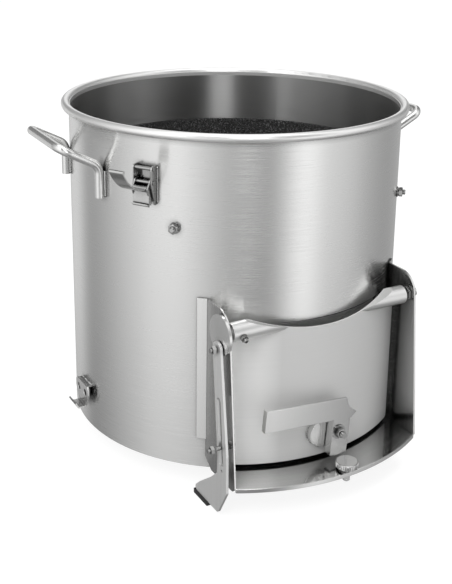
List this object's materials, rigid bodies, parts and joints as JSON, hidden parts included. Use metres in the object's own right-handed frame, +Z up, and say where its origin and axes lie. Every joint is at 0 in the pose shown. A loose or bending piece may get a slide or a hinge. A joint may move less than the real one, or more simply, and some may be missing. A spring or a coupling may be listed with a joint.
{
  "type": "potato peeler drum with discharge chute",
  "caption": "Open steel peeling drum with a grit-lined wall, a turning abrasive disc, and a hinged discharge door with a latch lever, a crank and a safety link.",
  "frame": {"origin": "on the drum's axis in the plane of its bottom rim, which rests on the seat of the machine base", "axes": "+Z up along the drum's axis, -Y out through the discharge chute, +X to the right of someone facing the chute"},
  "size_m": [0.495, 0.4675, 0.4195],
  "materials": {
    "stainless": "brushed around the drum",
    "chute_sheet": "bright cold-rolled sheet",
    "door_sheet": "bright cold-rolled sheet",
    "lever_sheet": "fine ground",
    "bright_rod": "polished rod",
    "turned_steel": "turned",
    "fasteners": "bright",
    "grit": "coarse silicon carbide grit",
    "seal_rubber": "matt",
    "magnet_plastic": "matt"
  },
  "bodies": {
    "drum": {"drum_shell": "stainless", "liner_sheet": "stainless", "liner_grit": "grit", "liner_bolts": "fasteners", "drum_floor": "stainless", "drain_pipe": "stainless", "bearing_housing": "turned_steel", "bearing_outer_rings": "turned_steel", "bearing_balls": "turned_steel", "shaft_seal": "seal_rubber", "bearing_circlip": "turned_steel", "left_handle": "bright_rod", "right_handle": "bright_rod", "left_base_catch": "stainless", "right_base_catch": "stainless", "toggle_base": "stainless", "toggle_pins": "fasteners", "left_cheek": "chute_sheet", "right_cheek": "chute_sheet", "chute_floor": "chute_sheet", "hinge_bush": "turned_steel", "hinge_bolt": "fasteners", "hinge_bolt_nuts": "fasteners", "guide_bolt": "fasteners", "guide_bolt_nuts": "fasteners"},
    "peeling_disc": {"drive_shaft": "turned_steel", "bearing_inner_rings": "turned_steel", "disc_plate": "stainless", "disc_grit": "grit", "disc_wipers": "stainless", "disc_washer": "fasteners", "disc_nut": "fasteners"},
    "door": {"door_panel": "door_sheet", "hinge_bar": "turned_steel", "door_spacers": "turned_steel", "plug_panel": "stainless", "plug_grit": "grit", "latch_boss": "turned_steel", "latch_bolt": "fasteners", "latch_spacer": "turned_steel", "latch_washers": "fasteners", "latch_nut": "fasteners", "crank": "turned_steel", "set_screw": "fasteners", "crank_pin": "fasteners", "crank_pin_nut": "fasteners"},
    "latch": {"latch_lever": "lever_sheet"},
    "link": {"safety_link": "lever_sheet", "link_magnet": "magnet_plastic"},
    "knob": {"thumb_screw": "turned_steel"},
    "toggle_lever": {"toggle_lever": "stainless", "toggle_link_pin": "fasteners"},
    "toggle_hook": {"toggle_hook": "stainless"}
  },
  "joints": [
    {"name": "disc_spin", "type": "hinge", "parent": "drum", "child": "peeling_disc", "pos_m": [0, 0, 0], "axis": [0, 0, 1], "continuous": true},
    {"name": "door_swing", "type": "hinge", "parent": "drum", "child": "door", "pos_m": [0, -0.197, 0.178], "axis": [-1, 0, 0], "range_deg": [0, 60]},
    {"name": "latch_turn", "type": "hinge", "parent": "door", "child": "latch", "pos_m": [0.0055, -0.23, 0.047], "axis": [0, 1, 0], "range_deg": [0, 55]},
    {"name": "link_swing", "type": "hinge", "parent": "door", "child": "link", "pos_m": [-0.1308, -0.19805, 0.16304], "axis": [-1, 0, 0], "range_deg": [-70, 0]},
    {"name": "knob_turn", "type": "hinge", "parent": "drum", "child": "knob", "pos_m": [0.0085, -0.2457, 0.008], "axis": [0, 0, 1], "continuous": true},
    {"name": "toggle_lift", "type": "hinge", "parent": "drum", "child": "toggle_lever", "pos_m": [-0.17397, -0.11126, 0.3285], "axis": [-0.5388, 0.8425, 0], "range_deg": [0, 60]},
    {"name": "hook_swing", "type": "hinge", "parent": "toggle_lever", "child": "toggle_hook", "pos_m": [-0.1786, -0.11422, 0.3225], "axis": [-0.5388, 0.8425, 0], "range_deg": [-60, 0]}
  ],
  "couplings": [
    {"joint": "link_swing", "follows": "door_swing", "ratio": -1.114}
  ]
}
